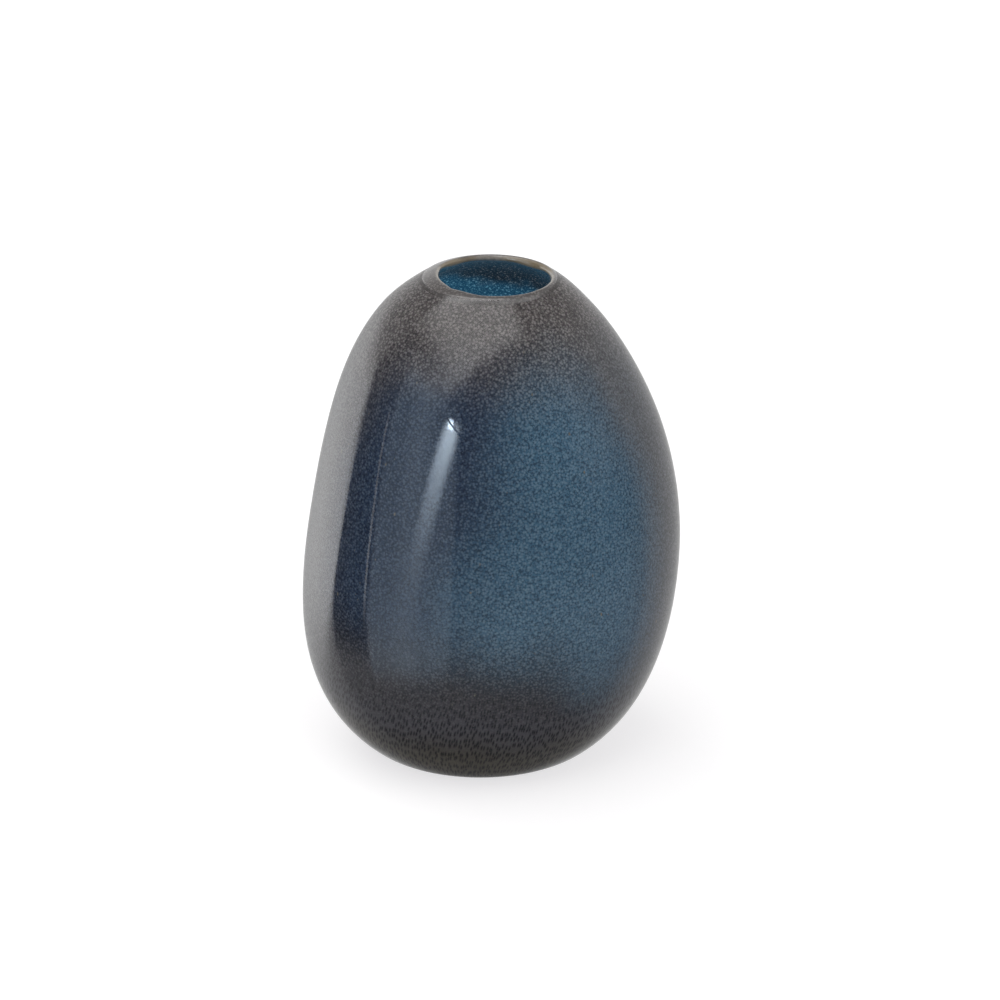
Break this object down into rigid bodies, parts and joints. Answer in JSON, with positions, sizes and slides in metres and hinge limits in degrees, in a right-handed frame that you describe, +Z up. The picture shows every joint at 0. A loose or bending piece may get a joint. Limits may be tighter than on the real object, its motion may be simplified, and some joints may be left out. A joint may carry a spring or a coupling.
{
  "type": "bud vase",
  "caption": "Egg-shaped bud vase of cased, seeded blown glass with a small round mouth, a beaded lip and a flat ground foot.",
  "frame": {"origin": "on the surface that the vase stands on, under the middle of its box", "axes": "+Z up through the mouth, -Y towards the viewer, +X to the viewer's right, the side that the body leans to"},
  "size_m": [0.1208, 0.1152, 0.16],
  "materials": {
    "smoke_glass": "clear smoke-tinted glass, mirror smooth, with a ground and polished foot",
    "seeded_glass": "grey-blue glass, cloudy with bubbles of about a millimetre",
    "blue_glass": "deep teal-blue glass, smooth inside",
    "lip_glass": "fire-polished beige-grey glass"
  },
  "bodies": {
    "root": {"outer_casing": "smoke_glass", "seeded_layer": "seeded_glass", "blue_lining": "blue_glass", "lip_bead": "lip_glass"}
  },
  "joints": []
}
